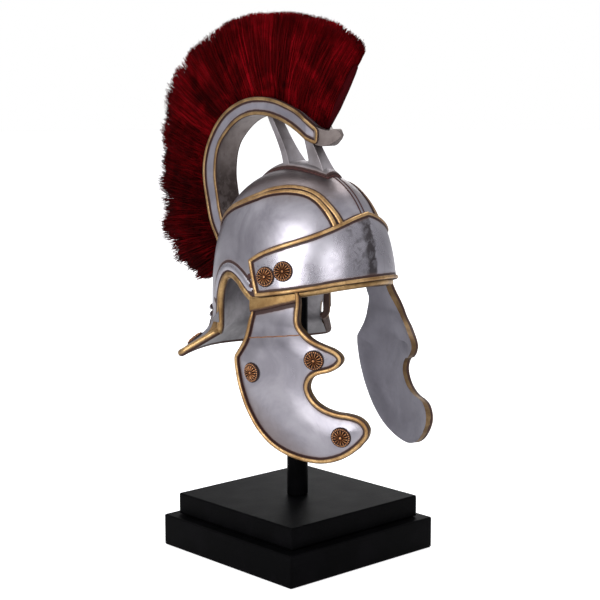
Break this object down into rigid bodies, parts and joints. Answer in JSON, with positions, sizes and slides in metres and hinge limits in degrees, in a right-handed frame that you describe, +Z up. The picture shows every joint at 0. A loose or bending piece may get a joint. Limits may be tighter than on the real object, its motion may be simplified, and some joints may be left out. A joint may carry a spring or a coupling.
{
  "type": "roman legionary helmet on display stand",
  "caption": "Small roman legionary helmet with a crest of red hair, cheek guards and a neck guard, on a round post and a two-step square base.",
  "frame": {"origin": "centre of the underside of the square base", "axes": "+Z up along the post, -Y the way the helmet faces, -X the wearer's right side"},
  "size_m": [0.1188, 0.2, 0.3062],
  "materials": {
    "silver": "antiqued silver leaf over resin, polished high spots, brown wash in the recesses",
    "gold": "antique gold paint with dark brown outlines",
    "copper": "aged copper paint on fluted rosettes",
    "hair": "dyed crimson bristle, matte",
    "stand": "black satin lacquer"
  },
  "bodies": {
    "root": {"base_lower": "stand", "base_upper": "stand", "post": "stand", "bowl": "silver", "bowl_rim": "gold", "brow_plate": "silver", "brow_plate_rim": "gold", "brow_rosette_left_front": "copper", "brow_rosette_left_rear": "copper", "brow_rosette_right_front": "copper", "brow_rosette_right_rear": "copper", "side_band_left": "gold", "side_band_right": "gold", "nape_rib_upper": "silver", "nape_rib_middle": "silver", "nape_rib_lower": "silver", "guard_rosette_left": "copper", "guard_rosette_right": "copper", "cheek_guard_left": "silver", "cheek_guard_right": "silver", "cheek_rim_left": "gold", "cheek_rim_right": "gold", "cheek_rosette_left_front": "copper", "cheek_rosette_left_lower": "copper", "cheek_rosette_left_rear": "copper", "cheek_rosette_right_front": "copper", "cheek_rosette_right_lower": "copper", "cheek_rosette_right_rear": "copper", "crest_fork": "silver", "crest_holder": "silver", "crest_trim_left": "gold", "crest_trim_right": "gold", "plume": "hair"}
  },
  "joints": []
}
